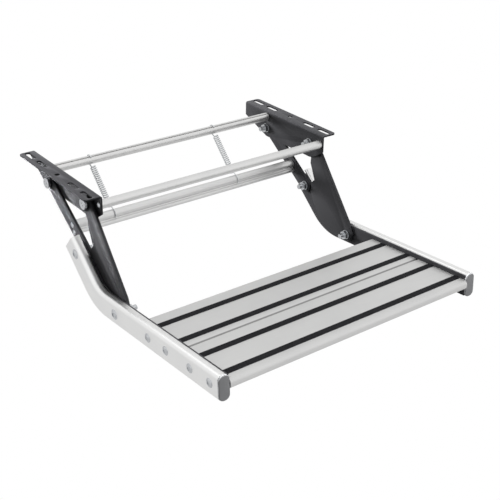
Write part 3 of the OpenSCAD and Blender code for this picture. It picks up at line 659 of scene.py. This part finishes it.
def place_camera(target, distance, azimuth, elevation, roll, focal_px):
    az, el, r = (math.radians(a) for a in (azimuth, elevation, roll))
    back = Vector((math.sin(az) * math.cos(el), -math.cos(az) * math.cos(el), math.sin(el)))
    right = (-back).cross(Vector((0, 0, 1))).normalized()
    up = right.cross(-back)
    turned_right = right * math.cos(r) + up * math.sin(r)
    turned_up = up * math.cos(r) - right * math.sin(r)
    data = bpy.data.cameras.new("camera")
    data.sensor_width = SENSOR_WIDTH
    data.lens = SENSOR_WIDTH * focal_px / PICTURE_WIDTH
    data.clip_end = 50
    camera = add_object("camera", data)
    turn = Matrix((turned_right, turned_up, back)).transposed().to_4x4()
    camera.matrix_world = Matrix.Translation(Vector(target) + back * distance) @ turn
    return camera


scene.camera = place_camera(target=(-0.0141, -0.2565, -0.1370), distance=1.9268, azimuth=-37.5,
                            elevation=27.6, roll=1.1, focal_px=984.2)
print("camera at", [round(v, 3) for v in scene.camera.location])

# %% [markdown]
# A white studio. The camera sees a white floor and a white wall. They throw little light on dull
# surfaces, so the blacks stay dark. Metals mirror the wall, which is a little brighter towards the
# front left, and one softbox above and behind, which draws the bright line on the rails. Four lamps
# light the black pieces: the key and a narrow beam from the rear left, because the left faces of
# the links are the light ones, one lamp above, and a weak one in front.

# %% Floor, world and lamps
FLOOR_HEIGHT = -0.5
FLOOR_SIZE = 12
FLOOR_IN_MIRROR = 0.85
WALL_LEVEL = 1.1
WALL_LEAN = (-0.08, -0.15, 0.0)
WALL_ON_DULL = 0.08
SOFTBOX_TOWARD = (-0.05, 0.70, 0.71)
SOFTBOX_FROM, SOFTBOX_FULL = 0.945, 0.98
SOFTBOX_LEVEL = 0.8
WHITE = (1, 1, 1, 1)


def combined(tree, operation, first, second):
    node = add_node(tree, "ShaderNodeMath", links={0: first, 1: second}, operation=operation)
    return node.outputs["Value"]


def facing(tree, toward, direction):
    node = add_node(tree, "ShaderNodeVectorMath", {1: direction}, {0: toward}, operation="DOT_PRODUCT")
    return node.outputs["Value"]


def studio_floor():
    material, tree, shader = new_material("studio_paper")
    shader.inputs["Roughness"].default_value = 0.9
    shader.inputs["Base Color"].default_value = paint("#505050")
    rays = add_node(tree, "ShaderNodeLightPath").outputs
    seen = combined(tree, "MAXIMUM", rays["Is Camera Ray"], rays["Is Glossy Ray"])
    level = value_range(tree, rays["Is Camera Ray"], 0.0, 1.0, FLOOR_IN_MIRROR, 1.0)
    glow = add_node(tree, "ShaderNodeEmission", {"Color": WHITE}, {"Strength": level})
    mix = add_node(tree, "ShaderNodeMixShader",
                   links={"Fac": seen, 1: shader.outputs["BSDF"], 2: glow.outputs["Emission"]})
    tree.links.new(mix.outputs["Shader"], tree.nodes["Material Output"].inputs["Surface"])
    bpy.ops.mesh.primitive_plane_add(size=FLOOR_SIZE, location=(0, 0, FLOOR_HEIGHT))
    floor = bpy.context.object
    floor.name = "studio_floor"
    floor.data.materials.append(material)


def studio_world():
    world = bpy.data.worlds.new("studio")
    scene.world = world
    world.use_nodes = True
    tree = world.node_tree
    rays = add_node(tree, "ShaderNodeLightPath").outputs
    toward = add_node(tree, "ShaderNodeTexCoord").outputs["Generated"]
    lean = facing(tree, toward, WALL_LEAN)
    wall = add_node(tree, "ShaderNodeMath", {1: WALL_LEVEL}, {0: lean}, operation="ADD").outputs["Value"]
    near = facing(tree, toward, SOFTBOX_TOWARD)
    softbox = value_range(tree, near, SOFTBOX_FROM, SOFTBOX_FULL, 0.0, SOFTBOX_LEVEL, smooth=True)
    room = combined(tree, "ADD", wall, softbox)
    share = value_range(tree, rays["Is Glossy Ray"], 0.0, 1.0, WALL_ON_DULL, 1.0)
    light = combined(tree, "MULTIPLY", room, share)
    strength = add_node(tree, "ShaderNodeMapRange", {"To Max": 1.0},
                        {"Value": rays["Is Camera Ray"], "To Min": light})
    background = tree.nodes["Background"]
    background.inputs["Color"].default_value = WHITE
    tree.links.new(strength.outputs["Result"], background.inputs["Strength"])


def soft_lamp(name, place, aim, size, watts, spread=180):
    data = bpy.data.lights.new(name, "AREA")
    data.shape = "SQUARE"
    data.size = size
    data.energy = watts
    data.spread = math.radians(spread)
    lamp = add_object(name, data)
    lamp.location = place
    lamp.rotation_euler = (Vector(aim) - Vector(place)).to_track_quat("-Z", "Y").to_euler()
    lamp.visible_glossy = False


studio_floor()
studio_world()
soft_lamp("key_rear_left", place=(-1.35, 2.65, 0.2), aim=(0.28, 0.0, -0.05), size=1.2, watts=260)
soft_lamp("left_beam", place=(-1.35, 2.55, 0.0), aim=(-0.29, 0.0, -0.05), size=0.1, watts=1.2, spread=7)
soft_lamp("top_fill", place=(0.2, 0.1, 2.6), aim=(0, -0.2, -0.1), size=1.6, watts=185)
soft_lamp("front_fill", place=(0.6, -2.7, 0.4), aim=(0, -0.2, -0.2), size=1.2, watts=16)
scene.view_settings.view_transform = "Standard"
